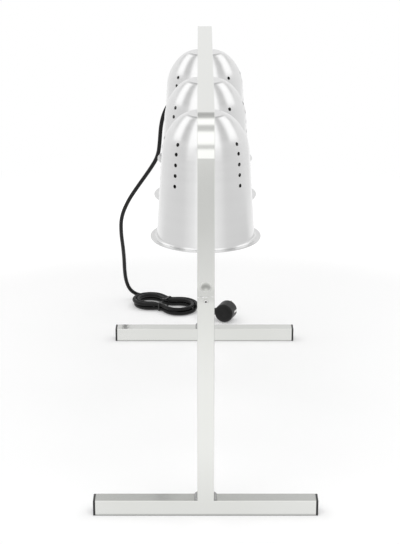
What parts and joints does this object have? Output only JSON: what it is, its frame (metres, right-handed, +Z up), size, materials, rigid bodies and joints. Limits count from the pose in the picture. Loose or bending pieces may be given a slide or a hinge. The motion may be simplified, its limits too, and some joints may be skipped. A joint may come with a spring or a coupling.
{
  "type": "food heat lamp",
  "caption": "Free-standing buffet heat lamp: vented spun-aluminium shades with heat bulbs hang in a row from a bent square-tube frame on T-shaped feet, with a mains cord.",
  "frame": {"origin": "on the table, midway between the two feet, under the middle lamp", "axes": "+Z up, +Y along the row of lamps towards the leg with the cord, +X along the feet"},
  "size_m": [0.34, 0.9658, 0.612],
  "materials": {
    "satin_aluminium_tube": "satin anodised",
    "mill_aluminium": "mill",
    "spun_aluminium": "spun, half polished",
    "black_end_cap": "moulded, matt",
    "plated_steel": "zinc or nickel plated",
    "black_cord_rubber": "matt",
    "black_plug": "moulded, matt",
    "brown_core": "smooth",
    "blue_core": "smooth",
    "earth_core": "smooth",
    "white_porcelain": "glazed",
    "white_lead_sleeve": "woven glass sleeve",
    "brass": "bright",
    "bulb_cap_metal": "bright",
    "frosted_bulb_glass": "frosted face, mirrored back",
    "filament_wire": "dull"
  },
  "bodies": {
    "stand": {"foot_tube_front": "satin_aluminium_tube", "foot_end_cap_front_left": "black_end_cap", "foot_end_cap_front_right": "black_end_cap", "lower_leg_front": "satin_aluminium_tube", "leg_spigot_front": "mill_aluminium", "foot_tube_rear": "satin_aluminium_tube", "foot_end_cap_rear_left": "black_end_cap", "foot_end_cap_rear_right": "black_end_cap", "lower_leg_rear": "satin_aluminium_tube", "leg_spigot_rear": "mill_aluminium", "leg_screws": "plated_steel", "top_frame": "satin_aluminium_tube", "cord_gland": "black_cord_rubber", "gland_nut": "black_end_cap", "cord_inner_end": "black_cord_rubber", "live_core": "brown_core", "neutral_core": "blue_core", "earth_core": "earth_core", "terminal_blocks": "white_porcelain", "earth_tag": "plated_steel", "power_cord": "black_cord_rubber", "cord_hank": "black_cord_rubber", "plug_lead": "black_cord_rubber", "cable_tie": "black_end_cap", "plug_body": "black_plug", "plug_pins": "plated_steel", "plug_earth_clips": "plated_steel"},
    "lamp_head_front": {"lamp_shade_front": "spun_aluminium", "nipple_front": "plated_steel", "lock_washer_front": "plated_steel", "lock_nut_front": "plated_steel", "lamp_holder_front": "white_porcelain", "screw_shell_front": "brass", "centre_contact_front": "brass", "lamp_leads_front": "white_lead_sleeve"},
    "bulb_front": {"bulb_glass_front": "frosted_bulb_glass", "bulb_cap_front": "bulb_cap_metal", "bulb_filament_front": "filament_wire"},
    "lamp_head_middle": {"lamp_shade_middle": "spun_aluminium", "nipple_middle": "plated_steel", "lock_washer_middle": "plated_steel", "lock_nut_middle": "plated_steel", "lamp_holder_middle": "white_porcelain", "screw_shell_middle": "brass", "centre_contact_middle": "brass", "lamp_leads_middle": "white_lead_sleeve"},
    "bulb_middle": {"bulb_glass_middle": "frosted_bulb_glass", "bulb_cap_middle": "bulb_cap_metal", "bulb_filament_middle": "filament_wire"},
    "lamp_head_rear": {"lamp_shade_rear": "spun_aluminium", "nipple_rear": "plated_steel", "lock_washer_rear": "plated_steel", "lock_nut_rear": "plated_steel", "lamp_holder_rear": "white_porcelain", "screw_shell_rear": "brass", "centre_contact_rear": "brass", "lamp_leads_rear": "white_lead_sleeve"},
    "bulb_rear": {"bulb_glass_rear": "frosted_bulb_glass", "bulb_cap_rear": "bulb_cap_metal", "bulb_filament_rear": "filament_wire"}
  },
  "joints": [
    {"name": "lamp_swivel_front", "type": "hinge", "parent": "stand", "child": "lamp_head_front", "pos_m": [0, -0.223, 0.587], "axis": [0, 0, 1], "range_deg": [-175, 175]},
    {"name": "bulb_turn_front", "type": "hinge", "parent": "lamp_head_front", "child": "bulb_front", "pos_m": [0, -0.223, 0.55], "axis": [0, 0, -1], "range_deg": [0, 900]},
    {"name": "lamp_swivel_middle", "type": "hinge", "parent": "stand", "child": "lamp_head_middle", "pos_m": [0, 0, 0.587], "axis": [0, 0, 1], "range_deg": [-175, 175]},
    {"name": "bulb_turn_middle", "type": "hinge", "parent": "lamp_head_middle", "child": "bulb_middle", "pos_m": [0, 0, 0.55], "axis": [0, 0, -1], "range_deg": [0, 900]},
    {"name": "lamp_swivel_rear", "type": "hinge", "parent": "stand", "child": "lamp_head_rear", "pos_m": [0, 0.223, 0.587], "axis": [0, 0, 1], "range_deg": [-175, 175]},
    {"name": "bulb_turn_rear", "type": "hinge", "parent": "lamp_head_rear", "child": "bulb_rear", "pos_m": [0, 0.223, 0.55], "axis": [0, 0, -1], "range_deg": [0, 900]}
  ]
}
